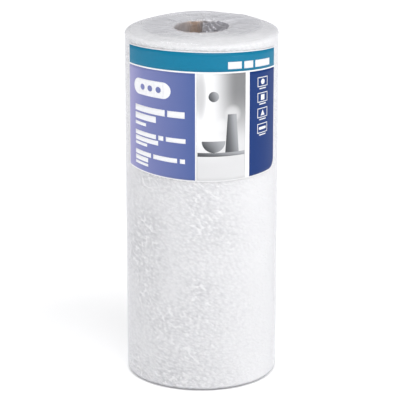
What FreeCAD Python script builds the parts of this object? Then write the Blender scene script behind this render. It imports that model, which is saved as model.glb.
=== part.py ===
import FreeCAD, Part
import math
import os

# A paper towel roll, standing on one end in its clear film wrapper with a printed label.
# Millimetres. Z is the roll's axis, z = 0 is the surface it stands on, and the print faces -Y.
# Bearings are degrees round the axis, from the front (-Y) towards the right (+X).

# The wound paper
sheet_count = 84
sheet_width = 279.4
sheet_length = 228.6
roll_dia = 119.4
tail_bearing = 245.0
end_round = 3.0

# Every so many turns the paper's edge lies a little lower at the roll's ends
turns_per_groove = 15
groove_width = 0.6
groove_depth = 0.35
groove_margin = 2.5

# The line of slits at which the outer sheet tears off
slit_length = 5.0
slit_spacing = 8.0
slit_width = 0.6
slit_end_margin = 6.0

# The cardboard core
core_bore_dia = 44.5
core_wall = 0.6
core_fit = 0.05

# The clear film: one wall round the roll, folded over both ends and tucked into the core
film_gauge = 0.15
film_clearance = 0.05
edge_relief = 0.1
mouth_round = 0.85
tuck_depth = 36.0
seam_bearing = 180.0
seam_width = 9.0

# The pleats that the film makes on each end
pleat_count = 16
pleat_layers = 3
pleat_lead = 3.0
pleat_trail = 24.0
pleat_reach = (1.0, 0.84, 0.95, 0.78)
pleat_rim_gap = 1.0

# The label, printed on the film: its place, its lean and the fields of colour.
# Bearings bound the fields to the left and right, and lengths bound them above and below.
ink = 0.1
ink_gap = 0.05
label_left_bearing = -67.0
label_right_bearing = 67.6
label_top_gap = 7.0
label_height = 100.2
label_lean = -0.024
label_border = 0.8
label_corner_round = 7.5
band_height = 14.9
rule_height = 1.2
blue_right_bearing = -4.8
picture_left_bearing = -3.8
picture_right_bearing = 33.7
navy_left_bearing = 37.4

# A plain plate with a row of round holes, at the head of the blue panel
plate_bearing = -41.0
plate_drop = 15.5
plate_width = 35.0
plate_height = 13.0
dot_radius = 2.4
dot_spacing = 8.0

# Rows of plain bars where a label carries its words: drop below the panel's top, height and widths
word_gap = 2.2
rows_bearing = -57.5
rows = ((30.8, 5.0, (31.0, 14.0)), (37.4, 5.0, (23.0,)), (44.6, 2.6, (13.0,)),
        (51.9, 3.6, (23.0, 4.5, 16.0)), (56.5, 3.6, (25.0,)), (61.2, 2.4, (14.0,)),
        (68.0, 3.6, (18.0, 21.0, 4.0)), (72.6, 3.6, (15.0,)), (77.4, 2.2, (15.0,)))
band_row_bearing = 19.3
band_row_drop = 7.2
band_row_height = 5.6
band_row_widths = (11.5, 8.5, 17.5)

# Four outlined icons in a column, each with a plain sign and a thin bar under it
icon_count = 4
icon_bearing = 51.0
icon_width = 12.2
icon_height = 7.8
icon_line = 0.6
icon_first_drop = 5.5
icon_pitch = 12.6
icon_sign = 4.4
caption_gap = 1.0
caption_width = 8.0
caption_height = 0.9

# The grey still life in the picture field: a bowl, a jug and a shelf line
still_life_bearing = 15.0
shelf_drop = 62.0
shelf_height = 3.0
bowl_radius = 9.0
bowl_offset = -6.5
jug_height = 30.0
jug_foot_width = 11.0
jug_top_width = 7.0
jug_offset = 8.0
moon_radius = 4.0
moon_drop = 18.0

# Sizes that follow
roll_radius = roll_dia / 2
bore_radius = core_bore_dia / 2
core_radius = bore_radius + core_wall
hole_radius = core_radius + core_fit
turn_pitch = math.pi * (roll_radius ** 2 - hole_radius ** 2) / (sheet_count * sheet_length)
pleat_rise = pleat_layers * film_gauge
paper_base = pleat_rise + film_gauge + film_clearance
paper_top = paper_base + sheet_width
pack_radius = roll_radius + edge_relief
film_radius = pack_radius + film_clearance + film_gauge
label_top = paper_top - label_top_gap
panel_top = label_top - band_height - rule_height
panel_bottom = label_top - label_height

UP = FreeCAD.Vector(0, 0, 1)
AXIS = FreeCAD.Vector(0, 0, 0)


def bearing_point(radius, bearing, z=0.0):
    """A point at a radius from the axis and a bearing from the front."""
    a = math.radians(bearing)
    return FreeCAD.Vector(radius * math.sin(a), -radius * math.cos(a), z)


def along(width):
    """The bearing that a width spans along the film."""
    return math.degrees(width / film_radius)


def line(a, b):
    return Part.LineSegment(a, b).toShape()


def section_arc(centre_r, centre_z, radius, start, end):
    """An arc in the half section (x is the radius), between two angles from +X."""
    turn = [math.radians(t) for t in (start, (start + end) / 2, end)]
    points = [FreeCAD.Vector(centre_r + radius * math.cos(t), 0, centre_z + radius * math.sin(t))
              for t in turn]
    return Part.Arc(*points).toShape()


def joined(edges):
    """The edges with a straight edge across each gap between one's end and the next one's start."""
    chain = []
    for edge, following in zip(edges, edges[1:] + edges[:1]):
        a, b = edge.valueAt(edge.LastParameter), following.valueAt(following.FirstParameter)
        chain.append(edge)
        if a.distanceToPoint(b) > 1e-6:
            chain.append(line(a, b))
    return chain


def revolved(edges):
    return Part.Face(Part.Wire(joined(edges))).revolve(AXIS, UP, 360)


def end_rounds(offset):
    """The corner arcs of the packed roll's half section, offset outwards, clockwise from the top mouth."""
    inner, outer = bore_radius + mouth_round, pack_radius - end_round
    return [section_arc(inner, paper_top - mouth_round, mouth_round + offset, 180, 90),
            section_arc(outer, paper_top - end_round, end_round + offset, 90, 0),
            section_arc(outer, paper_base + end_round, end_round + offset, 0, -90),
            section_arc(inner, paper_base + mouth_round, mouth_round + offset, -90, -180)]


def packed_form():
    """The room that the paper and its core fill: a ring with rounded ends."""
    return revolved(end_rounds(0.0))


def backwards(arcs):
    """The same arcs in the opposite order and direction."""
    return [Part.Arc(e.valueAt(e.LastParameter),
                     e.valueAt((e.FirstParameter + e.LastParameter) / 2),
                     e.valueAt(e.FirstParameter)).toShape() for e in reversed(arcs)]


def ring(outer, inner, low, high):
    base = FreeCAD.Vector(0, 0, low)
    return Part.makeCylinder(outer, high - low, base).cut(Part.makeCylinder(inner, high - low, base))


def core_tube():
    return ring(core_radius, bore_radius, paper_base, paper_top).common(packed_form())


def winding(start_radius, pitch, quarters, shift=0.0):
    """A spiral of quarter arcs about the four corners of a small square, each arc tangent to the last.

    Each quarter's radius is a quarter of the pitch less than the one before it.
    """
    step = pitch / 4
    side = [bearing_point(step, tail_bearing + 90 * k) for k in range(4)]
    centre = (side[1] + side[2]) * -0.5
    arcs = []
    for k in range(quarters):
        radius = start_radius - k * step + shift
        bearings = [tail_bearing + 90 * k + t for t in (0, 45, 90)]
        arcs.append(Part.Arc(*[centre + bearing_point(radius, b) for b in bearings]).toShape())
        centre = centre + side[(k + 1) % 4]
    return arcs


def wound_outline():
    """The outer turn seen from above: one turn of the spiral, closed by the tail's edge."""
    return Part.Face(Part.Wire(joined(winding(roll_radius, turn_pitch, 4))))


def end_groove():
    """One shallow spiral groove, which follows the turns from near the rim to near the core."""
    pitch = turns_per_groove * turn_pitch
    room = roll_radius - end_round - hole_radius - 2 * groove_margin
    quarters = 4 * max(1, math.floor(room / pitch))
    start = roll_radius - end_round - groove_margin
    outer = winding(start, pitch, quarters, groove_width / 2)
    inner = winding(start, pitch, quarters, -groove_width / 2)
    return Part.Face(Part.Wire(joined(outer + backwards(inner))))


def tear_slits():
    """The slits of one tear line, one sheet's length in from the tail along the outer turn."""
    bearing = tail_bearing + math.degrees(sheet_length / roll_radius) % 360
    depth = turn_pitch / 2
    turned = (bearing - tail_bearing) / 360
    floor = roll_radius - turned * turn_pitch - depth
    count = math.floor((sheet_width - 2 * slit_end_margin - slit_length) / slit_spacing) + 1
    first = paper_base + (sheet_width - (count - 1) * slit_spacing - slit_length) / 2
    slits = []
    for i in range(count):
        slit = Part.makeBox(slit_width, 2 * turn_pitch + depth, slit_length)
        slit.translate(FreeCAD.Vector(-slit_width / 2, -floor - 2 * turn_pitch - depth, 0))
        slit.rotate(AXIS, UP, bearing)
        slit.translate(FreeCAD.Vector(0, 0, first + i * slit_spacing))
        slits.append(slit)
    return slits


def towel_roll():
    """The wound paper: one spiral turn outside, a round hole for the core, grooves at both ends."""
    roll = wound_outline().extrude(UP * sheet_width)
    roll.translate(UP * paper_base)
    hole = Part.makeCylinder(hole_radius, sheet_width, UP * paper_base)
    groove = end_groove().extrude(UP * groove_depth)
    low, high = groove.copy(), groove.copy()
    low.translate(UP * paper_base)
    high.translate(UP * (paper_top - groove_depth))
    return roll.cut([hole, low, high] + tear_slits()).common(packed_form())


def film_skin():
    """The film as one thin wall: down the outside, over both ends and some way into the core."""
    inner, outer = end_rounds(film_clearance), end_rounds(film_clearance + film_gauge)
    tuck_ends = (paper_top - tuck_depth, paper_base + tuck_depth)
    near, far = [bore_radius - film_clearance - t for t in (0, film_gauge)]
    ends = [FreeCAD.Vector(r, 0, z) for r, z in ((far, tuck_ends[0]), (near, tuck_ends[0]),
                                                 (near, tuck_ends[1]), (far, tuck_ends[1]))]
    return revolved([line(ends[3], ends[2])] + backwards(inner) + [line(ends[1], ends[0])] + outer)


def pleats(low):
    """Flat folds that fan out from the mouth, all laid the same way, from z = low up.

    They reach half the film's gauge into the skin that carries them.
    """
    flat_edge = pack_radius - end_round - pleat_rim_gap
    mouth = bore_radius + mouth_round
    turn = 360 / pleat_count
    height = pleat_rise + film_gauge / 2
    plates = []
    for i in range(pleat_count):
        reach = mouth + (flat_edge - mouth) * pleat_reach[i % len(pleat_reach)]
        corners = [bearing_point(reach, i * turn, low),
                   bearing_point(mouth / math.cos(math.radians(pleat_trail)), i * turn + pleat_trail, low),
                   bearing_point(mouth - film_gauge, i * turn + pleat_trail / 2, low),
                   bearing_point(mouth - film_gauge, i * turn - pleat_lead, low)]
        plates.append(Part.Face(Part.makePolygon(corners + corners[:1])).extrude(UP * height))
    fan = plates[0].fuse(plates[1:])
    return fan.cut(Part.makeCylinder(mouth, height, UP * low))


def wrapped_sector(inner, outer, start, end, low, high):
    """A piece of a sleeve about the axis between two bearings."""
    sector = Part.makeCylinder(outer, high - low, UP * low, UP, end - start)
    sector = sector.cut(Part.makeCylinder(inner, high - low, UP * low))
    sector.rotate(AXIS, UP, start - 90)
    return sector


def film_wrapper():
    """The film's skin with the lap seam at the back and the pleats on both ends."""
    half_seam = along(seam_width / 2)
    seam = wrapped_sector(film_radius - film_gauge / 2, film_radius + film_gauge,
                          seam_bearing - half_seam, seam_bearing + half_seam,
                          paper_base + end_round, paper_top - end_round)
    outside = paper_top + film_clearance + film_gauge
    top = pleats(outside - film_gauge / 2)
    bottom = pleats(0.0)
    return film_skin().fuse([seam, top, bottom]).removeSplitter()


def leaning_slab(low, high):
    """The space between two parallel planes that drop to the right as the label does."""
    reach = 2 * film_radius
    corners = [FreeCAD.Vector(x, -reach, z + label_lean * x)
               for x, z in ((-reach, low), (reach, low), (reach, high), (-reach, high))]
    return Part.Face(Part.makePolygon(corners + corners[:1])).extrude(FreeCAD.Vector(0, reach, 0))


def layer_radius(layer):
    """The inner radius of a layer of ink, counted from 0 on the film."""
    return film_radius + ink_gap + layer * (ink + ink_gap)


def field(layer, start, end, low, high):
    """A field of ink on a layer, between two bearings and two leaning edges."""
    inner = layer_radius(layer)
    spare = abs(label_lean) * 2 * film_radius
    sleeve = wrapped_sector(inner, inner + ink, start, end, low - spare, high + spare)
    return sleeve.common(leaning_slab(low, high))


def field_with_round_corner(layer, start, end, low, high):
    """A field whose lower right corner is rounded, as the label's is."""
    r = label_corner_round
    centre = end - along(r)
    waste = flat_polygon([(0, low + r), (2 * r, low + r), (2 * r, low - r), (0, low - r)])
    waste = waste.cut(flat_disc(0, low + r, r))
    return field(layer, start, end, low, high).cut(radial_prism(centre, waste))


def row_of_bars(bearing, top, height, widths):
    """Plain bars side by side, from a bearing on, hanging below a height."""
    bars = []
    for width in widths:
        bars.append(field(2, bearing, bearing + along(width), top - height, top))
        bearing += along(width + word_gap)
    return bars


def radial_prism(bearing, outline):
    """A flat outline, drawn in x and z about the axis, carried outwards at a bearing of the label."""
    prism = outline.extrude(FreeCAD.Vector(0, -2 * film_radius, 0))
    prism.rotate(AXIS, UP, bearing)
    prism.translate(UP * (label_lean * film_radius * math.sin(math.radians(bearing))))
    return prism


def decal(layer, bearing, outline):
    """A flat outline laid on the film at a bearing."""
    inner = layer_radius(layer)
    prism = radial_prism(bearing, outline)
    box = prism.BoundBox
    return ring(inner + ink, inner, box.ZMin - ink, box.ZMax + ink).common(prism)


def flat_polygon(points):
    corners = [FreeCAD.Vector(x, 0, z) for x, z in points]
    return Part.Face(Part.makePolygon(corners + corners[:1]))


def flat_disc(x, z, radius):
    return Part.Face(Part.Wire(Part.makeCircle(radius, FreeCAD.Vector(x, 0, z), FreeCAD.Vector(0, 1, 0))))


def print_white_ground():
    margin = along(label_border)
    return field_with_round_corner(0, label_left_bearing - margin, label_right_bearing + margin,
                                   panel_bottom - label_border, label_top + label_border)


def print_teal_band():
    return field(1, label_left_bearing, label_right_bearing, label_top - band_height, label_top)


def print_blue_panel():
    return field(1, label_left_bearing, blue_right_bearing, panel_bottom, panel_top)


def print_picture_panel():
    return field(1, picture_left_bearing, picture_right_bearing, panel_bottom, panel_top)


def print_navy_strip():
    return field_with_round_corner(1, navy_left_bearing, label_right_bearing, panel_bottom, panel_top)


def print_picture_shapes():
    """A bowl, a jug and a small round, standing on a shelf line: a plain kitchen still life."""
    shelf = panel_top - shelf_drop
    margin = along(label_border)
    line_field = field(2, picture_left_bearing + margin, picture_right_bearing - margin,
                       shelf - shelf_height, shelf)
    half = flat_polygon([(bowl_offset - bowl_radius, shelf), (bowl_offset + bowl_radius, shelf),
                         (bowl_offset + bowl_radius, shelf + bowl_radius),
                         (bowl_offset - bowl_radius, shelf + bowl_radius)])
    bowl = flat_disc(bowl_offset, shelf + bowl_radius, bowl_radius).common(half)
    foot, neck = jug_foot_width / 2, jug_top_width / 2
    jug = flat_polygon([(jug_offset - foot, shelf), (jug_offset + foot, shelf),
                        (jug_offset + neck, shelf + jug_height), (jug_offset - neck, shelf + jug_height)])
    moon = flat_disc(bowl_offset, panel_top - moon_drop, moon_radius)
    signs = [decal(2, still_life_bearing, shape) for shape in (bowl, jug, moon)]
    return Part.makeCompound([line_field] + signs)


def stadium(x, z, width, height):
    """A flat bar with round ends."""
    r, reach = height / 2, width / 2 - height / 2
    corners = [FreeCAD.Vector(x + i * reach, 0, z + j * r) for i, j in ((-1, -1), (1, -1), (1, 1), (-1, 1))]
    right = Part.Arc(corners[1], FreeCAD.Vector(x + reach + r, 0, z), corners[2]).toShape()
    left = Part.Arc(corners[3], FreeCAD.Vector(x - reach - r, 0, z), corners[0]).toShape()
    return Part.Face(Part.Wire([line(corners[0], corners[1]), right, line(corners[2], corners[3]), left]))


def dotted_plate():
    centre = panel_top - plate_drop
    dots = [flat_disc(i * dot_spacing, centre, dot_radius) for i in (-1, 0, 1)]
    return decal(2, plate_bearing, stadium(0, centre, plate_width, plate_height).cut(dots))


def icon_signs(z):
    """The four plain signs about a height: a round, a square, a triangle and a bar."""
    h = icon_sign / 2
    low, high = z - h, z + h
    return [flat_disc(0, z, h),
            flat_polygon([(-h, low), (h, low), (h, high), (-h, high)]),
            flat_polygon([(-h, low), (h, low), (0, high)]),
            stadium(0, z, 2 * icon_sign, h)]


def icon(number):
    """An outlined box on the navy strip, with its sign inside and a thin bar below."""
    top = panel_top - icon_first_drop - number * icon_pitch
    foot, reach, edge = top - icon_height, along(icon_width / 2), along(icon_line)
    box = field(2, icon_bearing - reach, icon_bearing + reach, foot, top)
    window = field(2, icon_bearing - reach + edge, icon_bearing + reach - edge,
                   foot + icon_line, top - icon_line)
    sign = icon_signs(top - icon_height / 2)[number]
    caption = row_of_bars(icon_bearing - along(caption_width / 2), foot - caption_gap,
                          caption_height, (caption_width,))
    return [box.cut(window), decal(2, icon_bearing, sign)] + caption


def print_white_marks():
    """The plate, the plain bars where a label has its words, and the column of icons."""
    marks = [dotted_plate()]
    for drop, height, widths in rows:
        marks += row_of_bars(rows_bearing, panel_top - drop, height, widths)
    marks += row_of_bars(band_row_bearing, label_top - band_row_drop, band_row_height, band_row_widths)
    for number in range(icon_count):
        marks += icon(number)
    return Part.makeCompound(marks)


def main():
    os.makedirs("parts", exist_ok=True)
    for make in (core_tube, towel_roll, film_wrapper, print_white_ground, print_teal_band, print_blue_panel,
                 print_picture_panel, print_picture_shapes, print_navy_strip, print_white_marks):
        shape = make()
        shape.exportStep(f"parts/{make.__name__}.step")
        print(make.__name__, "solids", len(shape.Solids), "valid", shape.isValid(),
              "volume %.1f" % shape.Volume, "z %.2f to %.2f" % (shape.BoundBox.ZMin, shape.BoundBox.ZMax))


main()
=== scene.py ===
# %% [markdown]
# A paper towel roll stands on one end, in its clear film wrapper with a printed label. This script
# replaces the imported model's plain solids with embossed paper, a wound web, a board core, creased
# film and thin layers of ink. Lengths are in millimetres until a mesh is made. Bearings are degrees
# round the roll's axis, from the front (-Y) towards the right (+X).

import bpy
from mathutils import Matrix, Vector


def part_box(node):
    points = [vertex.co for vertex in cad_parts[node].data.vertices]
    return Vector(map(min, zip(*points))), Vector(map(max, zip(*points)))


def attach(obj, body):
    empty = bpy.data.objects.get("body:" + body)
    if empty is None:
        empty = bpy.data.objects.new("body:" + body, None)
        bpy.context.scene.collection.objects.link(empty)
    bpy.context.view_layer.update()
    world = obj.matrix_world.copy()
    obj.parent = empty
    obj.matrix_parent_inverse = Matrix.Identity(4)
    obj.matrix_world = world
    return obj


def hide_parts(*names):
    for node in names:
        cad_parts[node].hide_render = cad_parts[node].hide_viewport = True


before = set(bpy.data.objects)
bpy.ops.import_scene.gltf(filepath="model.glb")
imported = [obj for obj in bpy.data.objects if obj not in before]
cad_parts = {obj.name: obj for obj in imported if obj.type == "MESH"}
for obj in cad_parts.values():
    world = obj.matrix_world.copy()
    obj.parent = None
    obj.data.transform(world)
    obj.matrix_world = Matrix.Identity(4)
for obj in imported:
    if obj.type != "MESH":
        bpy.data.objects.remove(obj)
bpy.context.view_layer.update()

# %% Libraries and the unit
import math

import bpy
import numpy as np

MM = 0.001
TAU = 2 * math.pi

# %% [markdown]
# The main heights and radii are read from the CAD model. The rest repeats the part's own values,
# because this script can't read its source.

# %% Sizes of the roll
paper_low, paper_high = (corner.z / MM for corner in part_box("towel_roll"))
film_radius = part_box("film_wrapper")[1].x / MM
film_to_paper, core_wall, core_gap = 0.3, 0.6, 0.05
roll_radius = film_radius - film_to_paper
bore_radius = 22.25
core_radius = bore_radius + core_wall
hole_radius = core_radius + core_gap
end_round = 3.0
crown_width, crown_drop = 13.0, 4.2
film_gauge = 0.15
sheet_length = 228.6
tail_bearing = 245.0
turn_count = 74
turn_pitch = (roll_radius - hole_radius) / turn_count
print("paper", paper_low, "to", paper_high, "film radius", film_radius, "turn pitch", turn_pitch)

# %% [markdown]
# A shape is a grid of points, worked out as whole arrays. One helper numbers the corners of its
# quads, and another hands all to a mesh in one go. Blender could also add a primitive and edit it,
# but a formula says what the surface is.

# %% From arrays to a piece
def add_object(name, data):
    made = bpy.data.objects.new(name, data)
    bpy.context.scene.collection.objects.link(made)
    return made


def quads(rows, columns, rows_close=False, columns_close=False):
    """Corners of a grid's quads. Point (i, j) is number i * columns + j, and each quad joins (i, j),
    (i, j + 1), (i + 1, j + 1) and (i + 1, j). A closed direction joins its end to its start."""
    i, j = np.meshgrid(np.arange(rows if rows_close else rows - 1),
                       np.arange(columns if columns_close else columns - 1), indexing="ij")
    i, j = i.ravel(), j.ravel()
    after_i, after_j = (i + 1) % rows, (j + 1) % columns
    return np.stack([i * columns + j, i * columns + after_j,
                     after_i * columns + after_j, after_i * columns + j], axis=1)


def make_piece(name, points, faces, material, slot, nodes, uv=None, caps=(), **numbers):
    """A mesh object from points in mm, quads and larger faces as caps, with UVs and named numbers at
    each point. It rides on the roll and stands for the nodes. The slot is not used."""
    points = points.reshape(-1, 3)
    corners = np.concatenate([faces.ravel(), *caps]).astype(np.int32)
    sizes = np.array([4] * len(faces) + [len(cap) for cap in caps])
    mesh = bpy.data.meshes.new(name)
    mesh.vertices.add(len(points))
    mesh.vertices.foreach_set("co", (points * MM).astype(np.float32).ravel())
    mesh.loops.add(len(corners))
    mesh.loops.foreach_set("vertex_index", corners)
    mesh.polygons.add(len(sizes))
    mesh.polygons.foreach_set("loop_start", (np.cumsum(sizes) - sizes).astype(np.int32))
    mesh.polygons.foreach_set("use_smooth", np.ones(len(sizes), bool))
    mesh.update(calc_edges=True)
    if uv is not None:
        layer = mesh.uv_layers.new(name="UVMap")
        layer.data.foreach_set("uv", uv.reshape(-1, 2)[corners].astype(np.float32).ravel())
    for number, values in numbers.items():
        spread = np.broadcast_to(np.ravel(values), len(points))
        attribute = mesh.attributes.new(number, "FLOAT", "POINT")
        attribute.data.foreach_set("value", spread.astype(np.float32))
    mesh.materials.append(material)
    piece = add_object(name, mesh)
    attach(piece, "root")
    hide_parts(*nodes)
    print(name, len(points), "points")
    return piece


def walled(piece, thickness, offset=-1.0):
    """Gives a sheet a real wall: inwards from the sheet at -1, on both of its sides at 0."""
    wall = piece.modifiers.new("wall", "SOLIDIFY")
    wall.thickness, wall.offset = thickness * MM, offset

# %% Round the roll
def around(radius, bearing, z):
    """Points at a radius, a bearing and a height, as arrays of the same shape."""
    radius, bearing, z = np.broadcast_arrays(radius, np.radians(bearing), z)
    return np.stack([radius * np.sin(bearing), -radius * np.cos(bearing), z], axis=-1)


def eased(x, low=0.0, high=1.0):
    """0 below low, 1 above high, and the smooth cubic 3t^2 - 2t^3 between."""
    t = np.clip((x - low) / (high - low), 0, 1)
    return t * t * (3 - 2 * t)


def bell(x, centre, width):
    """1 at the centre, falling off on both sides as exp(-(distance / width)^2)."""
    return np.exp(-((x - centre) / width) ** 2)


def bearing_off(bearing, centre):
    """The difference of two bearings, from -180 to 180."""
    return (np.asarray(bearing) - centre + 180) % 360 - 180


def bell_at(bearing, centre, width):
    """The bell round the roll, about one bearing."""
    return bell(bearing_off(bearing, centre), 0, width)

# %% [markdown]
# Paper and film are never quite even. Two kinds of unevenness do for all of it: a soft noise for
# slow swells, and cells for the pebbles. Both close round the roll and come from seeded draws.

# %% Noise that closes round the roll
noise_start, noise_reach, cells_reach = 15, 320, 440


def in_squares(bearing, z, size):
    """How many squares of a size go round the roll, where each place lies among them, across and up,
    and its row and column."""
    columns = max(3, round(TAU * film_radius / size))
    a, b = np.broadcast_arrays((np.asarray(bearing) / 360) % 1 * columns,
                               (np.asarray(z) + noise_start) / size)
    return columns, a, b, np.floor(b).astype(int), np.floor(a).astype(int)


def soft_noise(bearing, z, size, seed):
    """From -1 to 1. Squares of the given size each have a random height at their corners, and the
    eased distance to each corner blends the four."""
    columns, a, b, i, j = in_squares(bearing, z, size)
    rows = math.ceil(noise_reach / size) + 2
    heights = np.random.default_rng(seed).uniform(-1, 1, (rows, columns))
    s, t = eased(a - j), eased(b - i)
    j, right, i, over = j % columns, (j + 1) % columns, i % rows, (i + 1) % rows
    return ((heights[i, j] * (1 - s) + heights[i, right] * s) * (1 - t)
            + (heights[over, j] * (1 - s) + heights[over, right] * s) * t)


def cells(bearing, z, size, seed):
    """Distance, in sizes, to the nearest of the random points, one of which lies in each square.
    Only the nine squares about a place can hold it."""
    columns, a, b, i, j = in_squares(bearing, z, size)
    rows = math.ceil(cells_reach / size) + 4
    draws = np.random.default_rng(seed).random((2, rows, columns))
    nearest = np.full(a.shape, 9.0)
    for step_i in (-1, 0, 1):
        for step_j in (-1, 0, 1):
            row, column = i + step_i, (j + step_j) % columns
            off_a = j + step_j + draws[0, row, column] - a
            off_b = i + step_i + draws[1, row, column] - b
            nearest = np.minimum(nearest, np.hypot(off_a, off_b))
    return nearest

# %% [markdown]
# Shader maths reads like arithmetic here: a Wire is one output socket of a node, and adding or
# multiplying wires adds Math nodes. Any other node comes from one method.

# %% Nodes as expressions
class Wire:
    """An output socket of a node, or the start of an empty node tree."""

    def __init__(self, tree, socket=None):
        self.tree, self.socket = tree, socket

    def node(self, kind, settings=(), inputs=(), out=0):
        """A new node: its settings, then its sockets by name or number, each a value or a wire."""
        made = self.tree.nodes.new("ShaderNode" + kind)
        for key, value in dict(settings).items():
            setattr(made, key, value)
        for key, value in dict(inputs).items():
            if isinstance(value, Wire):
                self.tree.links.new(value.socket, made.inputs[key])
            else:
                made.inputs[key].default_value = value
        return Wire(self.tree, made.outputs[out])

    def maths(self, operation, other=0.0):
        return self.node("Math", {"operation": operation}, {0: self, 1: other})

    def __add__(self, other):
        return self.maths("ADD", other)

    def __mul__(self, other):
        return self.maths("MULTIPLY", other)

    def __sub__(self, other):
        return self.maths("SUBTRACT", other)

    def __rsub__(self, other):
        return self * -1 + other

    def part(self, axis):
        """One axis of a vector."""
        return self.node("SeparateXYZ", (), {0: self}, "XYZ".index(axis))

    def between(self, low, high):
        """0 below low, 1 above high, smooth between."""
        return self.node("MapRange", {"interpolation_type": "SMOOTHSTEP"},
                         {0: self, 1: low, 2: high, 3: 0.0, 4: 1.0})

    def colours(self, first, last):
        """This wire as the share of the last colour in a mix with the first."""
        return self.node("Mix", {"data_type": "RGBA"}, {0: self, 6: first, 7: last}, 2)


def linear(*srgb):
    """A colour given as sRGB from 0 to 255, as the linear colour that sockets take."""
    share = np.array(srgb) / 255
    curve = ((share + 0.055) / 1.055) ** 2.4
    return (*np.where(share <= 0.04045, share / 12.92, curve).tolist(), 1.0)


def start_material(name):
    """A material with no nodes yet, and the wire to build them from."""
    material = bpy.data.materials.new(name)
    material.use_nodes = True
    material.node_tree.nodes.clear()
    return material, Wire(material.node_tree)


def to_output(surface, kind="Material"):
    """Joins a shader to the output of its material or world."""
    made = surface.tree.nodes.new("ShaderNodeOutput" + kind)
    surface.tree.links.new(surface.socket, made.inputs["Surface"])


def object_place(start):
    return start.node("TexCoord", (), (), 3)


def principled(start, inputs):
    to_output(start.node("BsdfPrincipled", (), inputs))


def painted(start, number):
    """A number that the mesh has at each point."""
    return start.node("Attribute", {"attribute_name": number}, (), 2)


def noise(start, place, scale, detail=2.0, rough=0.5):
    """Blender's own noise, from 0 to 1, at so many waves a metre."""
    return start.node("TexNoise", (), {"Vector": place, "Scale": scale, "Detail": detail,
                                       "Roughness": rough})


def bump(start, height, depth):
    """A normal for a height from 0 to 1 that stands for so many millimetres."""
    return start.node("Bump", (), {"Height": height, "Strength": 1.0, "Distance": depth * MM})

# %% [markdown]
# The paper is bleached tissue: matt, white, a little uneven from the fibres. The mesh has the large
# emboss and says how strong it is at each point. The material adds what is finer, small pebbles and
# fibre tufts, as bump and as tone. The tone also has painted shade: it is greyer between the pebbles
# and in the ripples' valleys, as shade in hollows.

# %% Towel paper
fibre_waves, cloud_waves = 1400.0, 90.0
cell_along, cell_up = (288.0, -94.0), (172.0, 528.0)
pebble_bump = 0.5


def towel_material():
    """The small pebbles are Voronoi cells on the unrolled sheet, turned by 18 degrees and squeezed: so
    many cells a metre along it and up it, each 3.3 mm long and 1.8 mm tall."""
    material, start = start_material("bleached_tissue")
    place = object_place(start)
    fibres = noise(start, place, fibre_waves, 4.0, 0.65)
    clouds = noise(start, place, cloud_waves, 2.0)
    arc_length = place.part("X").maths("ARCTAN2", place.part("Y") * -1) * (roll_radius * MM)
    height_up = place.part("Z")
    along, up = (arc_length * a + height_up * b for a, b in (cell_along, cell_up))
    sheet_place = start.node("CombineXYZ", (), {0: along, 1: up, 2: clouds * 0.8})
    pebbles = start.node("TexVoronoi", {"feature": "SMOOTH_F1"},
                         {"Vector": sheet_place, "Scale": 1.0, "Smoothness": 0.25})
    height = fibres * 0.12 - pebbles * 0.9 + 0.8
    strength, valley = painted(start, "strength"), painted(start, "valley")
    # Painted shade: greyer between the pebbles, as much as their strength, and in the ripples' valleys.
    tone = 1.01 - strength * pebbles * 0.76 - valley + (clouds - fibres) * 0.08
    colour = tone.colours(linear(190, 190, 192), linear(246, 246, 245))
    principled(start, {"Base Color": colour, "Roughness": 0.95, "Sheen Weight": 0.15,
                       "Sheen Roughness": 0.6, "Normal": bump(start, height, pebble_bump)})
    return material


towel_paper = towel_material()

# %% [markdown]
# The outer turn is one spiral sheet of embossed paper. Soft tissue could be simulated, but wound tight
# under film it has no folds: what shows is the emboss, pebbles about 4 mm apart and slanting ripples
# where the turns have crept. Both are heights on a fine grid, flatter at the right, where the film is
# taut. The grid runs up the sheet's outside and back down its inside.

# %% The emboss
pebble_size, pebble_depth, pebble_slant, pebble_squeeze, pebble_reach = 3.9, 0.52, 0.4, 1.35, 0.72
ripple_pitch, ripple_depth, ripple_slant, ripple_shade = 5.2, 0.28, 0.75, 0.05
swell_height, below_face = 0.06, 0.05
taut_bearing, loose_bearing, rippled_bearing, rippled_height = 62, -42, 8, 158


def pebbling(bearing, z):
    """From 0 to 1: each pebble falls off with the square of the distance from its middle. The sheet
    is sheared and squeezed first, which draws the pebbles out along a slant."""
    warp = 1.2 * soft_noise(bearing, z, 7.5, 15)
    slanted = bearing + np.degrees((warp + pebble_slant * z) / roll_radius)
    squeezed = z * pebble_squeeze + 1.0 * soft_noise(bearing, z, 7.5, 16)
    return 1 - np.minimum(cells(slanted, squeezed, pebble_size, 11) / pebble_reach, 1.0) ** 2


def rippling(bearing, z):
    """Slanting sine ripples from 0 to 1, and how far each place is within a rippled patch."""
    across = np.radians(bearing) * roll_radius
    slant = (across + ripple_slant * z + 4 * soft_noise(bearing, z, 28, 12)
             + 1.3 * soft_noise(bearing, z, 9, 18))
    chosen = 0.9 * bell_at(bearing, rippled_bearing, 16) * bell(z, rippled_height, 26)
    patches = eased(soft_noise(bearing, z, 42, 13) + chosen, 0.15, 0.75)
    patches = patches * eased(soft_noise(bearing, z, 8, 19), -0.7, 0.3)
    return 0.5 + 0.5 * np.sin(slant * TAU / ripple_pitch), patches


def emboss(bearing, z):
    """The height of the paper in mm, how strong the pebbles are, and how deep in a ripple it is,
    which the material paints as shade.
    """
    ripples, patches = rippling(bearing, z)
    taut = 0.85 * bell_at(bearing, taut_bearing, 40) - 0.25 * bell_at(bearing, loose_bearing, 30)
    strength = (0.8 + 0.3 * soft_noise(bearing, z, 24, 17)) * (1 - taut)
    swells = swell_height * soft_noise(bearing, z, 16, 14)
    height = (pebble_depth * strength * (pebbling(bearing, z) - 1)
              + ripple_depth * patches * (ripples - 1) + swells - below_face)
    return height, strength, ripple_shade * patches * (1 - ripples)

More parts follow.
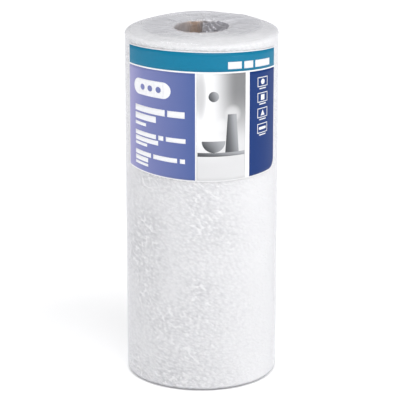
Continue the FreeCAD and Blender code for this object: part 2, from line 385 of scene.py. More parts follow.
# %% The last two sheets of the web
def ribbon(name, points, **numbers):
    """A closed section carried along, an array (sections, points round, 3), with its ends capped."""
    count, ring = points.shape[:2]
    first = np.arange(ring)
    last = (count - 1) * ring + first
    return make_piece(name, points, quads(count, ring, columns_close=True)[:, ::-1], towel_paper,
                      "towel_paper", ["towel_roll"], caps=[first, last[::-1]], **numbers)


slit_length, slit_spacing, slit_half_width, slit_margin = 5.0, 8.0, 0.3, 6.0
sheet_thickness, edge_fall, edge_reach = 0.5, 0.12, 0.004
last_share = sheet_length / (TAU * roll_radius)


def slit_mask(z):
    """1 in the slits of a tear line and 0 on the bonds between them."""
    return ((z - paper_low - slit_margin) % slit_spacing < slit_length).astype(float)


def folded_over(width, drop, stop):
    """Along a quarter ellipse from the roll's side: how far out, how far up, and the angle of the
    outward direction (cos t / width, sin t / drop)."""
    turn = np.radians(np.linspace(0, stop, 9))[1:]
    return (width * (np.cos(turn) - 1), drop * np.sin(turn),
            np.arctan2(np.sin(turn) / drop, np.cos(turn) / width))


def sheet_profile():
    """Up the sheet: how far each point lies out from the sheet's side, its height, and its outward
    direction. The foot has a small round edge, and the crowned top a wide, low one."""
    z = np.linspace(paper_low + end_round, paper_high - crown_drop, 334)
    foot_out, foot_up, foot_tilt = folded_over(end_round, end_round, 74)
    top_out, top_up, top_tilt = folded_over(crown_width, crown_drop, 41)
    out = np.concatenate([foot_out[::-1], 0 * z, top_out])
    height = np.concatenate([z[0] - foot_up[::-1], z, z[-1] + top_up])
    tilt = np.concatenate([-foot_tilt[::-1], 0 * z, top_tilt])
    return (row[None, :] for row in (out, height, np.cos(tilt), np.sin(tilt)))


def outer_sheet(name, start, stop, columns, slits_at):
    """A length of the outer turn, counted in turns from the tail. Its radius falls by one pitch in a
    turn, less the emboss. At an end with slits, the edge draws back by half a slit's width."""
    out, level, tilt_r, tilt_z = sheet_profile()
    turns = np.linspace(start, stop, columns)[:, None]
    bearing = tail_bearing + 360 * turns + 0 * level
    z = level + 0 * turns
    back = np.degrees(slit_half_width / roll_radius)
    if slits_at == "stop":
        bearing[-1] -= back * slit_mask(z[-1])
    else:
        bearing[0] += back * slit_mask(z[0])
    base = roll_radius - turn_pitch * turns
    from_ends = eased(turns, start, start + edge_reach) + eased(-turns, -stop, edge_reach - stop)
    height, strength, valley = emboss(bearing, z)
    lift = height + edge_fall * (from_ends - 2)
    outside = around(base + out + lift * tilt_r, bearing, z + lift * tilt_z)
    ends = [-1, -9, 8, 0]
    inside = around(base + out[:, ends] - sheet_thickness * tilt_r[:, ends], bearing[:, ends],
                    z[:, ends] - sheet_thickness * tilt_z[:, ends])
    points = np.concatenate([outside, inside], axis=1)
    # The pebbles' strength and the painted valley shade go to the material, but not on the crown.
    off_crown = eased(-z, crown_drop - paper_high - 1, crown_drop - paper_high + 2)
    blank_inside = ((0, 0), (0, len(ends)))
    ribbon(name, points, strength=np.pad(strength * off_crown, blank_inside),
           valley=np.pad(valley * off_crown, blank_inside))


outer_sheet("last_sheet", 0.0, last_share, 278, "stop")
outer_sheet("next_sheet", last_share, 1.02, 180, "start")

# %% [markdown]
# Under the outer turn the web goes on to the core for 73 turns. One could stack rings, but the real
# web is one ribbon, so a thin tall section is carried along one long spiral. Each turn's edge is
# rounded and a little higher or lower than the next, which draws fine rings on the roll's ends. The
# film pulls the outer turns down, so the upper end is crowned.

# %% The wound web
points_per_turn = 96
edge_shares, edge_drops = (0.0, 0.3, 0.7, 1.0), (0.08, 0.0, 0.0, 0.08)
most_creep, wave_height, lap_drop = 0.22, 0.08, 0.7
top_lap, foot_lap = roll_radius - 4.1, roll_radius - 2.9


def end_drop(radius, width, drop, lap):
    """How far the roll's end lies inside its flat at a radius: 0, then a quarter ellipse to the rim,
    and a little more from the radius where the outer turn laps over the web."""
    out = np.clip((radius - (roll_radius + 0.1 - width)) / width, 0, 1)
    return drop * (1 - np.sqrt(1 - out ** 2)) + lap_drop * eased(radius, lap, lap + 0.8)


def wound_web():
    """Eight points a section: four across the upper edge and four across the lower."""
    turns = np.linspace(1.0, turn_count - 0.02, int((turn_count - 1) * points_per_turn))[:, None]
    bearing = tail_bearing + 360 * turns
    share, drop = np.array(edge_shares)[None, :], np.array(edge_drops)[None, :]
    radius = roll_radius - turn_pitch * (turns + share) + 0.02
    uneven = np.random.default_rng(21).uniform(0.0, most_creep, turn_count + 2)
    whole = np.floor(turns).astype(int)
    creep = uneven[whole] + (uneven[whole + 1] - uneven[whole]) * eased(turns - whole, 0.4, 1.0)
    wave = wave_height * (1 + np.sin(np.radians(bearing) * 2 + turns * 0.3))
    fall = drop + creep + wave
    top_drop = end_drop(radius, crown_width, crown_drop, top_lap)
    foot_drop = end_drop(radius, end_round, end_round, foot_lap)
    upper = around(radius, bearing, paper_high - fall - top_drop)
    lower = around(radius, bearing, paper_low + fall + foot_drop)
    points = np.concatenate([upper, lower[:, ::-1]], axis=1)
    return ribbon("wound_web", points, strength=0.0, valley=0.0)


wound_web().data.set_sharp_from_angle(angle=math.radians(45))

# %% [markdown]
# The core is spirally wound brown board. Its ply seam runs as a helix up the tube, a shallow step
# that catches the light. The mesh is a profile carried round the axis: up the inside, over the cut
# edge and down the outside.

# %% Core board
def board_material():
    material, start = start_material("spiral_wound_board")
    place = object_place(start)
    flecks = noise(start, place, 900.0, 3.0, 0.7)
    clouds = noise(start, place, 60.0, 2.0)
    mixed = (clouds * 0.6 + flecks * 0.4).between(0.3, 0.72)
    colour = mixed.colours(linear(190, 150, 112), linear(226, 192, 156))
    principled(start, {"Base Color": colour, "Roughness": 0.85, "Normal": bump(start, flecks, 0.08)})
    return material


core_board = board_material()

# %% The core tube
ply_pitch, ply_step = 64.0, 0.09
core_inset, cut_edge = 0.1, 0.2
bore_rows, side_rows, core_columns = 90, 16, 160


def ply_seam(bearing, z):
    """The surface falls by a step along a helix and climbs back over the rest of the turn."""
    along = (z / ply_pitch + bearing / 360) % 1
    return -ply_step * eased(along, 0.0, 0.02) * (1 - along)


def core():
    low, high = paper_low + core_inset, paper_high - core_inset
    edges = np.array([bore_radius + cut_edge, core_radius - cut_edge])
    profile_z = np.concatenate([np.linspace(low, high, bore_rows), [high, high],
                                np.linspace(high, low, side_rows), [low, low]])
    profile_r = np.concatenate([np.full(bore_rows, bore_radius), edges,
                                np.full(side_rows, core_radius), edges[::-1]])
    bearing = np.linspace(0, 360, core_columns, endpoint=False)[:, None]
    z = profile_z[None, :] + 0 * bearing
    on_bore = np.arange(len(profile_r)) < bore_rows
    radius = profile_r[None, :] - on_bore * ply_seam(bearing, z) * 0.5
    make_piece("core", around(radius, bearing, z), quads(core_columns, len(profile_r), True, True),
               core_board, "core_board", ["core_tube"])


core()

# %% [markdown]
# The wrapper is one thin clear sheet: down inside the core, over the mouth, across the end, over
# the crown, down the side and the same at the foot. Cloth simulation could crumple it, but shrunk
# film is tight with sharp folds, and formulas place those where the photograph has them: pleats
# round the mouth, straight creases across the end, a slack fold and crumples at the back. Each is a
# distance that the sheet stands out from its profile.

# %% The film's profile
def arc(centre_r, centre_z, width, start, stop, count, drop=None):
    """Points of a circle's or an ellipse's arc in the half section, and their outward directions."""
    turn = np.radians(np.linspace(start, stop, count))
    sizes = np.array([width, drop or width])
    out = np.stack([np.cos(turn), np.sin(turn)], axis=1)
    away = out / sizes
    away = away / np.linalg.norm(away, axis=1, keepdims=True)
    return np.array([centre_r, centre_z]) + sizes * out, away


def run(start, stop, count, out):
    """Points of a straight run, without its two ends, and its one outward direction."""
    share = np.linspace(0, 1, count + 2)[1:-1, None]
    points = np.array(start) * (1 - share) + np.array(stop) * share
    return points, np.tile(out, (count, 1))


tuck_reach, over_paper, mouth_inset, mouth_round = 37.0, 0.2, 0.85, 1.05
tuck_radius = bore_radius - over_paper
mouth_centre = bore_radius + mouth_inset
rim_round = end_round + over_paper
rim_centre = film_radius - rim_round
rim_top, rim_foot = paper_high - end_round, paper_low + end_round
flat_top, flat_foot = paper_high + over_paper, paper_low - over_paper
film_crown = crown_width + 0.1
crown_centre, crown_foot = film_radius - film_crown, paper_high - crown_drop
mouth_top, mouth_foot = paper_high - mouth_inset, paper_low + mouth_inset

profile_parts = [
    run((tuck_radius, paper_high - tuck_reach), (tuck_radius, mouth_top), 14, (-1, 0)),
    arc(mouth_centre, mouth_top, mouth_round, 180, 90, 6),
    run((mouth_centre, flat_top), (crown_centre, flat_top), 26, (0, 1)),
    arc(crown_centre, crown_foot, film_crown, 90, 0, 18, crown_drop + over_paper),
    run((film_radius, crown_foot), (film_radius, rim_foot), 56, (1, 0)),
    arc(rim_centre, rim_foot, rim_round, 0, -90, 7),
    run((rim_centre, flat_foot), (mouth_centre, flat_foot), 14, (0, -1)),
    arc(mouth_centre, mouth_foot, mouth_round, 270, 180, 5),
    run((tuck_radius, mouth_foot), (tuck_radius, paper_low + tuck_reach), 5, (-1, 0))]
profile = np.concatenate([points for points, out in profile_parts])
outward = np.concatenate([out for points, out in profile_parts])

# %% Creases and pleats
def line_creases(x, y, count, seed, reach=70.0):
    """A sheet folded along straight lines, from 0 to 1: the sum of the distances from the lines bends
    sharply on each line and is flat between them."""
    draws = np.random.default_rng(seed)
    turn = draws.uniform(0, math.pi, count)
    offset = draws.uniform(-0.75, 0.75, count) * reach
    sign = draws.choice([-1.0, 1.0], count)
    total = np.zeros_like(x)
    for k in range(count):
        total += sign[k] * np.abs(x * math.cos(turn[k]) + y * math.sin(turn[k]) - offset[k])
    return (total - total.min()) / np.ptp(total)


def zigzag(share, folds):
    """A triangle wave from 0 to 1, with so many folds while the share goes from 0 to 1."""
    return np.abs(share * folds % 2 - 1)


def side_wrinkles(bearing, z):
    """Faint slow swells of the film on the side, in mm."""
    return 0.05 * soft_noise(bearing, z, 30, 31)


crinkle_places = ((0.7, -34, 17), (0.3, 40, 20), (0.6, 140, 30))


def rim_crinkles(bearing, z):
    """Sharp little folds over the upper rim, most at the front left and the back right, each place as
    (height, bearing, width). Their lines come from straight creases."""
    most = sum(height * bell_at(bearing, *place) for height, *place in crinkle_places) + 0.12
    across = np.radians(bearing_off(bearing, 0)) * film_radius
    facets = line_creases(across, 2.0 * (z - rim_top), 40, 34, 60.0)
    return most * zigzag(facets, 26) * eased(z, rim_top - 2.2, rim_top + 0.6)


def end_pleats(bearing, radius, seed, count=16):
    """Folds laid one way round the mouth: each rises slowly over its width and drops at its edge.
    They lean as they go out, and each ends at its own reach."""
    draws = np.random.default_rng(seed)
    shift = draws.uniform(-0.28, 0.28, count + 1)
    reach = draws.uniform(0.45, 1.0, count + 1)
    lean = (radius - mouth_centre) * 0.012
    place = (np.asarray(bearing) / 360 % 1) * count + lean
    whole = np.floor(place).astype(int) % count
    share = (place - shift[whole]) % 1
    rise = share ** 1.5 * (1 - eased(share, 0.9, 1.0))
    out = (radius - mouth_centre) / (rim_centre - mouth_centre)
    return rise * (1 - eased(out, 0.35 * reach[whole], reach[whole]))

# %% The film
film_columns = 288
most_pleat, foot_pleat, crumple_height, crease_base = 1.1, 0.42, 1.3, 0.25
# Places on the film, each as (bearing, width).
slack, at_back, gathered, crumpled = (184, 30), (176, 42), (135, 62), (162, 30)
shut_side, window, creased_rim, front, shaded = (205, 30), (194, 15), (180, 75), (5, 50), (128, 34)


def top_relief(bearing, r, x, y, facets):
    """How far the film stands off the upper end: straight creases, flatter towards the rim, the slack
    fold at the back and the pleats round the mouth."""
    creases = 1.2 * facets + 0.8 * line_creases(x, y, 14, 42) + 0.5 * zigzag(facets, 9)
    creases = creases * (crease_base + 0.75 * eased(-r, -56, -42)) - crease_base
    slack_fold = (0.5 * bell_at(bearing, *at_back) * eased(r, 40, 56)
                  + 1.5 * bell_at(bearing, *slack) * eased(r, 38, 54))
    pleats = most_pleat * (0.35 + 0.65 * bell_at(bearing, *gathered)) * end_pleats(bearing, r, 43)
    return np.maximum(creases, 0.0) * eased(r, 22, 30) + slack_fold + pleats


def mouth_puckers(bearing, z):
    """How far the film stands off the bore: it is drawn into puckers, except where it lies shut."""
    puckers = np.abs(np.sin(np.radians(bearing) * 9 + 2 * soft_noise(bearing, z, 12, 45)))
    uneven = 0.6 + 0.4 * soft_noise(bearing, z * 2, 15, 46)
    return (1 - bell_at(bearing, *shut_side)) * (0.3 + 1.6 * puckers * uneven)


def end_haze_and_shade(bearing, r, facets, crumples):
    """Haze on the upper end, which greys the film: more on the pleats, the creases and the rim's
    creased back, where the film lies in layers. It is also painted shade: the whole end greyer, more at
    the right, and less at the front and on the rest of the rim, so the front reads lighter."""
    at_front = bell_at(bearing, *front)
    white_rim = (1 - bell_at(bearing, *creased_rim)) * eased(r, 43, 49)
    shade = 0.24 - 0.22 * at_front + 0.2 * bell_at(bearing, *shaded) - 0.2 * crumples
    cloudy = (0.22 * end_pleats(bearing, r, 43) + 0.1 * soft_noise(bearing, r, 9, 47)
              + 0.16 * zigzag(facets, 9) - 0.1)
    return (1 - white_rim) * (shade + (1 - 0.7 * at_front) * cloudy)


def film():
    """The profile carried round the axis, each point moved along its outward direction, and haze that
    is partly painted shade.
    """
    bearing = np.linspace(0, 360, film_columns, endpoint=False)[:, None]
    r, z = profile[None, :, 0] + 0 * bearing, profile[None, :, 1] + 0 * bearing
    bearing = bearing + 0 * r
    out_r, out_z = outward[None, :, 0], outward[None, :, 1]
    x, y = r * np.sin(np.radians(bearing)), -r * np.cos(np.radians(bearing))
    on_side, on_top, on_foot, in_mouth = (
        np.clip(way, 0, 1) for way in (out_r, out_z, -out_z, -out_r))
    facets, crinkles = line_creases(x, y, 9, 41), rim_crinkles(bearing, z)
    crumples = bell_at(bearing, *crumpled) * eased(-r, -44, -26)
    crumples = crumples * zigzag(line_creases(x, y, 24, 48), 34)
    top = top_relief(bearing, r, x, y, facets) + crumple_height * crumples + crinkles * eased(r, 51, 57)
    side = side_wrinkles(bearing, z) + crinkles
    move = (on_top * top + on_side * side + on_foot * foot_pleat * end_pleats(bearing, r, 44)
            + in_mouth ** 4 * mouth_puckers(bearing, z))
    haze_and_shade = (0.04 + on_top * end_haze_and_shade(bearing, r, facets, crumples) + 0.25 * on_foot
            + in_mouth * (0.42 - 0.3 * bell_at(bearing, *window)))
    return around(r + move * out_r, bearing, z + move * out_z), haze_and_shade

# %% [markdown]
# Film is clear plastic, so most light goes straight through. What shows it is a slight haze, gloss
# on both sides, and a grey, bright look edge on. A glass shader would need refraction and slow light
# paths; a mix of see-through and glossy by the facing angle stays quick. Film gathered in layers is
# greyer and shinier, so the tuck and the seam have a finish of their own.

# %% Clear film
def film_material(name, tone, metallic, crinkle):
    """Share of gloss: the haze that the mesh has as its shade, and more where it is seen edge on."""
    material, start = start_material(name)
    place = object_place(start)
    # The mesh's shade: the film's haze, partly painted shade.
    haze_and_shade = painted(start, "shade")
    facing = start.node("LayerWeight", (), {"Blend": 0.5}, 1)
    streaks = noise(start, place, 220.0, 3.0, 0.6)
    share = facing.maths("POWER", 5) * 0.7 + haze_and_shade * (streaks * 0.5 + 0.75)
    rough = streaks.between(0.2, 0.9) * 0.1 + haze_and_shade * 0.6 + 0.1
    gloss = start.node("BsdfPrincipled", (), {
        "Base Color": tone, "Metallic": metallic, "Roughness": rough, "IOR": 1.5,
        "Normal": bump(start, streaks, crinkle)})
    clear = start.node("BsdfTransparent", (), {"Color": (0.985, 0.985, 0.99, 1.0)})
    to_output(start.node("MixShader", (), {0: share.maths("MINIMUM", 1.0), 1: clear, 2: gloss}))
    return material


clear_film = film_material("clear_film", linear(235, 235, 239), 0.3, 0.15)
gathered_film = film_material("gathered_film", linear(214, 214, 220), 0.7, 0.4)


def film_piece(name, faces, material, points, haze_and_shade, offset=-1.0):
    """A piece of the wrapper, with the film's wall."""
    piece = make_piece(name, points, faces, material, "clear_film", ["film_wrapper"], shade=haze_and_shade)
    walled(piece, film_gauge, offset)


film_piece("film", quads(film_columns, len(profile), rows_close=True), clear_film, *film())

# %% [markdown]
# The rest of the film's end is stuffed into the core: a crumpled tongue from the right and the back
# of the mouth, which leaves the board bare at the left. It is one sheet folded along many straight
# lines, so that its flat facets glint.

# %% The tucked end of the film
tongue_columns, tongue_rows, tongue_radius = 120, 90, 21.6


def tucked_tongue():
    """Across it the bearing goes from the right to the back. Down it the sheet leaves the wall,
    crosses towards the axis and drops, and folds along lines push it up and down."""
    across = np.linspace(0, 1, tongue_columns)[:, None]
    down = np.linspace(0, 1, tongue_rows)[None, :]
    bearing = 52 + 126 * across + 10 * np.sin(down * 9) * (1 - across)
    inward = eased(down, 0.0, 0.7) * (0.62 + 0.3 * np.sin(across * 9) * down)
    radius = tongue_radius * (1 - inward)
    depth = 1.0 + 9.0 * down + 12.0 * np.maximum(down - 0.6, 0)
    x, y = radius * np.sin(np.radians(bearing)), -radius * np.cos(np.radians(bearing))
    folds = ((line_creases(x, y, 16, 51, 22) - 0.5) * 8
             + (line_creases(x + y, y - 2 * x, 22, 52, 40) - 0.5) * 4)
    folds = folds + 2.0 * zigzag(line_creases(x, y, 30, 53, 24), 13)
    free = eased(down, 0.0, 0.2)
    radius = np.clip(radius + free * folds * 0.45, 1.0, tongue_radius)
    return around(radius, bearing, paper_high - depth + free * folds * 0.6)


film_piece("tucked_film", quads(tongue_columns, tongue_rows)[:, ::-1], gathered_film,
           tucked_tongue(), 0.34, 0.0)

# %% [markdown]
# The film meets itself in a lap seam up the back, 9 mm wide: a narrow second sheet on the first.

# %% The lap seam
seam_width, seam_columns, seam_rows = 9.0, 11, 140


def lap_seam():
    share = np.linspace(-1, 1, seam_columns)[:, None]
    z = np.linspace(rim_foot, crown_foot, seam_rows)[None, :]
    bearing = 180 + np.degrees(seam_width / 2 / film_radius) * share + 0 * z
    z = z + 0 * share
    lift = 0.12 + 0.05 * np.sin(z * 1.9) * (1 - share ** 2) + 0.03 * soft_noise(bearing, z, 6, 61)
    return around(film_radius + side_wrinkles(bearing, z) + lift, bearing, z)


film_piece("lap_seam", quads(seam_columns, seam_rows), gathered_film, lap_seam(), 0.14)

# %% [markdown]
# The label is ink on the film. Each colour is a layer of its own that follows the film, so that it
# takes its wrinkles. A field is a grid between two bearings and two heights, which leans and draws in
# towards its ends as the real label does.

# %% Where the print lies
label_left, label_right = -67.0, 67.6
label_lean, label_draw_in = -0.024, 0.055
label_top = paper_high - 7.0
label_middle, panel_bottom = label_top - 50.1, label_top - 100.2
label_border, corner_round = 0.8, 7.5
band_height, band_gap = 14.9, 1.2
panel_top = label_top - band_height - band_gap
ink, ink_rise, layer_rise = 0.05, 0.1, 0.06


def along(width):
    """The bearing that a width spans on the film."""
    return math.degrees(width / film_radius)


def on_film(layer, bearing, z):
    """Points on a layer of ink. Heights lean, and draw in towards the label's middle at both ends, by
    a share that grows as 1 - cos(bearing)."""
    turn = np.radians(bearing)
    ends = (1 - np.cos(turn)) / (1 - math.cos(math.radians(label_right)))
    z = (label_middle + (z - label_middle) * (1 - label_draw_in * ends)
         + label_lean * film_radius * np.sin(turn))
    rise = ink_rise + layer_rise * layer
    return around(film_radius + side_wrinkles(bearing, z) + rise, bearing, z)


def on_flat(layer, bearing, x, z):
    """Points on a layer of ink at x to the side of a bearing, as seen from there."""
    return on_film(layer, bearing + np.degrees(np.arcsin(x / film_radius)), z)


def field(layer, left, right, low, high, corner=0.0):
    """A field of ink. With a corner radius its lower edge rises at the right along a quarter circle."""
    columns = max(4, int((right - left) * 0.8))
    rows = max(3, int((high - low) / 2.5))
    bearing = np.linspace(left, right, columns)
    if corner:
        turn = np.linspace(0, math.pi / 2, 16)
        bearing = np.concatenate([bearing[bearing < right - along(corner)],
                                  right - along(corner) + along(corner) * np.sin(turn)])
    into = np.clip((bearing - right) / along(1.0) + corner, 0, corner)
    lift = corner - np.sqrt(np.maximum(corner ** 2 - into ** 2, 0))
    up = np.linspace(0, 1, rows)[None, :]
    bearing = bearing[:, None] + 0 * up
    z = (low + lift)[:, None] * (1 - up) + high * up
    uv = np.stack([(bearing - left) / (right - left), (z - low) / (high - low)], axis=-1)
    return on_film(layer, bearing, z), uv


def print_piece(name, patches, slot):
    """One layer of ink from several patches, each a grid of points with its UVs. A patch of three
    parts is a ring, whose last row joins its first."""
    points, uvs, faces, first = [], [], [], 0
    for grid, uv, *ring in patches:
        rows, columns = grid.shape[:2]
        faces.append(quads(rows, columns, bool(ring)) + first)
        points.append(grid.reshape(-1, 3))
        uvs.append(uv.reshape(-1, 2))
        first += rows * columns
    walled(make_piece(name, np.concatenate(points), np.concatenate(faces), inks[slot], slot,
                      ["print_" + name], np.concatenate(uvs)), ink)

# %% Inks
def ink_material(name, colour_of):
    """Ink under the film's gloss: a colour worked out from the UVs, with a clear coat."""
    material, start = start_material(name)
    uv = start.node("UVMap", {"uv_map": "UVMap"})
    principled(start, {"Base Color": colour_of(start, uv), "Roughness": 0.5, "Coat Weight": 0.12,
                       "Specular IOR Level": 0.15, "Coat Roughness": 0.1})
    return material


def mottled(*srgb, spread=0.04):
    """A flat ink, very slightly uneven, as print is."""
    def made(start, uv):
        colour = linear(*srgb)
        patches = noise(start, object_place(start), 500.0, 2.0)
        darker = tuple(c * (1 - spread) for c in colour[:3]) + (1.0,)
        return patches.between(0.35, 0.65).colours(darker, colour)
    return made


def violet_to_blue(start, uv):
    """The blue panel's blend: a hazy violet at the left, then a soft and a deep blue."""
    x, soft_at = uv.part("X"), 0.3
    hazy = (x * (1 / soft_at)).colours(linear(166, 163, 208), linear(128, 134, 186))
    return ((x - soft_at) * (1 / (1 - soft_at))).colours(hazy, linear(80, 100, 158))


def kitchen_blur(start, uv):
    """A picture out of focus: a bright window, a grey wall at the upper right, and soft lights."""
    x, y = uv.part("X"), uv.part("Y")
    def glow(cx, cy, wx, wy):
        dx, dy = (x - cx) * (1 / wx), (y - cy) * (1 / wy)
        return 1 - (dx * dx + dy * dy).between(0.0, 1.0)
    wall = x.between(0.2, 0.8) * y.between(0.1, 0.85) * 0.78
    jamb = glow(0.08, 0.8, 0.14, 0.28) * 0.35
    lights = glow(0.72, 0.62, 0.2, 0.1) * 0.5 + glow(0.5, 0.52, 0.16, 0.08) * 0.35
    table = (1 - y.between(0.12, 0.42)) * 0.24
    dark = (wall + jamb + table - lights * wall).maths("MAXIMUM", 0.0).maths("MINIMUM", 1.0)
    return dark.colours(linear(248, 248, 249), linear(60, 62, 66))


def shape_tone(start, uv):
    """The shapes are lit from the right and above."""
    lit = (uv.part("X") * 0.7 + uv.part("Y") * 0.3).between(0.1, 1.0)
    return lit.colours(linear(84, 86, 90), linear(176, 178, 182))


inks = {slot: ink_material(slot, colour_of) for slot, colour_of in (
    ("white_ink", mottled(250, 250, 251, spread=0.02)), ("teal_ink", mottled(8, 123, 159)),
    ("blue_ink", violet_to_blue), ("pale_grey_ink", kitchen_blur),
    ("navy_ink", mottled(17, 54, 119)), ("mark_ink", mottled(246, 247, 250, spread=0.02)),
    ("dark_grey_ink", shape_tone))}

# %% The fields of colour
blue_right, picture_left, picture_right, navy_left = -4.8, -3.8, 33.7, 37.4
margin = along(label_border)
for name, slot, *sides in (
        ("white_ground", "white_ink", 0, label_left - margin, label_right + margin,
         panel_bottom - label_border, label_top + label_border, corner_round),
        ("teal_band", "teal_ink", 1, label_left, label_right, label_top - band_height, label_top),
        ("blue_panel", "blue_ink", 1, label_left, blue_right, panel_bottom, panel_top),
        ("picture_panel", "pale_grey_ink", 1, picture_left, picture_right, panel_bottom, panel_top),
        ("navy_strip", "navy_ink", 1, navy_left, label_right, panel_bottom, panel_top, corner_round)):
    print_piece(name, [field(*sides)], slot)

# %% [markdown]
# The picture is a plain still life: a bowl and a jug on a shelf, and a small round above. Each is a
# patch whose half width is a function of the height.

# %% Shapes by their half width
def upright(bearing, x, low, high, half_width, rows, columns):
    """A flat shape at a bearing: at each height it reaches half_width(share) to both sides of x."""
    turn = np.linspace(0, math.pi, rows)
    share = (0.5 - 0.5 * np.cos(turn))[None, :]
    side = np.linspace(-1, 1, columns)[:, None]
    z = low + (high - low) * share + 0 * side
    spread = x + side * half_width(share)
    uv = np.stack([0.5 + 0.5 * side + 0 * share, share + 0 * side], axis=-1)
    return on_flat(2, bearing, spread, z), uv


def disc(radius):
    """Half width of a circle."""
    return lambda share: radius * np.sqrt(np.maximum(1 - (2 * share - 1) ** 2, 0))


def stadium(width, height):
    """Half width of a bar with round ends."""
    return lambda share: width / 2 - height / 2 + disc(height / 2)(share)


def bowl(radius):
    """The lower half of a circle."""
    return lambda share: disc(radius)(share / 2)


def tapered(low, high):
    """Straight sides, upright or leaning."""
    return lambda share: low + (high - low) * share


shelf, shelf_board, picture_middle = panel_top - 62.0, 3.0, 15.0
still_life = [field(2, picture_left + margin, picture_right - margin, shelf - shelf_board, shelf)]
still_life += [upright(picture_middle, *shape, 24, 8) for shape in (
    (-6.5, shelf, shelf + 9.0, bowl(9.0)), (8.0, shelf, shelf + 30.0, tapered(5.5, 3.5)),
    (-6.5, panel_top - 22.0, panel_top - 14.0, disc(4.0)))]
print_piece("picture_shapes", still_life, "dark_grey_ink")

# %% [markdown]
# White marks stand where a label carries its words: a plate with three round holes, rows of plain
# bars, and four small signs. A tile with a round hole is one grid, from the circle out to its box.

# %% The white marks
def plain_patch(bearing, x, z):
    """A patch with no use for its UVs."""
    return on_flat(2, bearing, x, z), np.zeros((*x.shape, 2))


def holed_tile(bearing, x, z, half_width, half_height, radius):
    """At each angle the box's edge is as far out as the nearer of its side and its top."""
    corner = math.atan2(half_height, half_width)
    corners = [corner, math.pi - corner, math.pi + corner, TAU - corner]
    turn = np.sort(np.concatenate([np.linspace(0, TAU, 48, endpoint=False), corners]))
    across, up = np.cos(turn), np.sin(turn)
    edge = np.minimum(half_width / np.maximum(np.abs(across), 1e-9),
                      half_height / np.maximum(np.abs(up), 1e-9))
    share = np.linspace(1, 0, 4)[None, :]
    away = radius * (1 - share) + edge[:, None] * share
    return *plain_patch(bearing, x + away * across[:, None], z + away * up[:, None]), True


def half_stadium(bearing, x, z, side, radius):
    """The round end of the plate: to the right of x at side 1, to the left at -1."""
    up = np.linspace(-math.pi / 2, math.pi / 2, 24)[None, :]
    out = np.linspace(0, 1, 6)[::side, None]
    return plain_patch(bearing, x + side * out * radius * np.cos(up), z + radius * np.sin(up) + 0 * out)


def bars(bearing, top, height, widths, gap=2.2):
    """Plain bars side by side below a height."""
    made = []
    for width in widths:
        made.append(field(2, bearing, bearing + along(width), top - height, top))
        bearing += along(width + gap)
    return made


def frame_box(bearing, low, high, width, line):
    """An outlined box: four thin fields."""
    thick = along(line)
    left, right = bearing - along(width / 2), bearing + along(width / 2)
    return [field(2, left, right, low, low + line), field(2, left, right, high - line, high),
            field(2, left, left + thick, low + line, high - line),
            field(2, right - thick, right, low + line, high - line)]


plate_at, plate_z, plate_half, tile_half, plate_hole = -41.0, panel_top - 15.5, 6.5, 4.0, 2.4
marks = [holed_tile(plate_at, 2 * tile_half * k, plate_z, tile_half, plate_half, plate_hole)
         for k in (-1, 0, 1)]
marks += [half_stadium(plate_at, 3 * tile_half * side, plate_z, side, plate_half)
          for side in (-1, 1)]
# Each row of bars as (drop from the panel's top, height, widths).
words_left, word_rows = -57.5, (
    (30.8, 5.0, (31.0, 14.0)), (37.4, 5.0, (23.0,)), (44.6, 2.6, (13.0,)),
    (51.9, 3.6, (23.0, 4.5, 16.0)), (56.5, 3.6, (25.0,)), (61.2, 2.4, (14.0,)),
    (68.0, 3.6, (18.0, 21.0, 4.0)), (72.6, 3.6, (15.0,)), (77.4, 2.2, (15.0,)))
for drop, height, widths in word_rows:
    marks += bars(words_left, panel_top - drop, height, widths)
marks += bars(19.3, label_top - 7.2, 5.6, (11.5, 8.5, 17.5))
sign_at, sign_drop, sign_step = 51.0, 5.5, 12.6
sign_width, sign_height, sign_line, caption = 12.2, 7.8, 0.6, 8.0
# Each sign as (half of its shape's height, the shape).
signs = ((2.2, disc(2.2)), (2.2, tapered(2.2, 2.2)), (2.2, tapered(2.3, 0.1)), (1.1, stadium(8.8, 2.2)))
for number, (half, shape) in enumerate(signs):
    top = panel_top - sign_drop - sign_step * number
    middle = top - sign_height / 2
    marks += frame_box(sign_at, top - sign_height, top, sign_width, sign_line)
    marks.append(upright(sign_at, 0.0, middle - half, middle + half, shape, 12, 6))
    marks += bars(sign_at - along(caption / 2), top - sign_height - 1.0, 0.9, (caption,))
print_piece("white_marks", marks, "mark_ink")

# %% [markdown]
# The stage: a wide pale floor, large soft lights, and a plain world, bright near the horizon and
# greyer overhead, so that the roll's top is a shade darker than its side. The floor glows, which is
# painted light: more so far out, where the lamps reach less, to keep the ground plain white, and not
# under the roll, where the glow fades out at the foot and leaves a dark contact line.

# %% Floor
floor_half, floor_near, floor_far = 6.0, 0.38, 0.24


def stage_floor():
    material, start = start_material("pale_floor")
    place = object_place(start)
    away = place.node("VectorMath", {"operation": "LENGTH"}, {0: place}, 1)
    # Painted light: glow far out where the lamps reach less, and none at the foot, for a contact line.
    glow = away.between(0.056, 0.061) * floor_near + away.between(0.1, 1.5) * floor_far
    principled(start, {"Base Color": (0.85, 0.85, 0.85, 1.0), "Roughness": 0.9,
                       "Emission Strength": 1.0, "Emission Color": glow, "Specular IOR Level": 0.1})
    mesh = bpy.data.meshes.new("floor")
    mesh.from_pydata([(x * floor_half, y * floor_half, 0) for x, y in
                      ((-1, -1), (1, -1), (1, 1), (-1, 1))], [], [(0, 1, 2, 3)])
    mesh.materials.append(material)
    add_object("floor", mesh)


stage_floor()

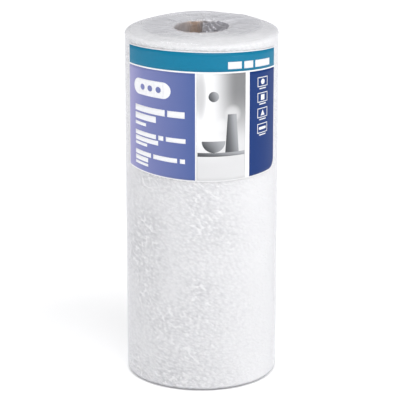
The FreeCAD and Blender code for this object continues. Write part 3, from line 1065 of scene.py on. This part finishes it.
# %% Light
def softbox(name, place, aim, width, height, power):
    """A rectangular area light that faces a point of the roll's axis, at the height aim."""
    lamp = bpy.data.lights.new(name, "AREA")
    lamp.shape = "RECTANGLE"
    lamp.size, lamp.size_y, lamp.energy = width, height, power
    holder = add_object(name, lamp)
    x, y, z = holder.location = place
    holder.rotation_euler = (math.atan2(math.hypot(x, y), z - aim), 0.0, math.atan2(y, x) + math.pi / 2)


# The key from the front right and the fill from the left light the side, and the other two the top.
for box in (("key", (1.6, -1.2, 0.45), 0.14, 0.7, 0.7, 6.5),
            ("fill", (-1.8, -0.4, 0.5), 0.14, 0.8, 0.8, 5.2),
            ("front", (0.45, -1.05, 2.0), 0.27, 1.6, 0.9, 22.5),
            ("overhead", (-0.35, 0.9, 1.75), 0.28, 0.6, 0.35, 5.0)):
    softbox(*box)

# %% World
world = bpy.data.worlds.new("studio")
bpy.context.scene.world = world
world.use_nodes = True
world.node_tree.nodes.clear()
sky = Wire(world.node_tree)
height = sky.node("TexCoord", (), (), 0).part("Z")
glow = height.between(0.0, 0.3).colours((0.7, 0.7, 0.7, 1.0), (0.36, 0.36, 0.37, 1.0))
to_output(sky.node("Background", (), {"Color": glow, "Strength": 1.0}), "World")

# %% Camera
looking_down, distance, leftward, lowered = 16.8, 1.7, 1.27, 0.88
roll_middle, long_lens = 140.35, 192.2


def place_camera():
    """A long lens keeps the sides nearly upright, and a shift of a millimetre puts the roll where the
    photograph has it."""
    elevation = math.radians(looking_down)
    cosine, sine = math.cos(elevation), math.sin(elevation)
    back, up = np.array([0, -cosine, sine]), np.array([0, sine, cosine])
    middle = np.array([-leftward, 0, roll_middle]) * MM
    lens = bpy.data.cameras.new("camera")
    lens.sensor_width, lens.lens = 36.0, long_lens
    lens.clip_start, lens.clip_end = 0.05, 50.0
    camera = add_object("camera", lens)
    camera.location = middle + back * distance - up * lowered * MM
    camera.rotation_euler = (math.pi / 2 - elevation, 0, 0)
    bpy.context.scene.camera = camera


place_camera()
bpy.context.scene.view_settings.view_transform = "Standard"
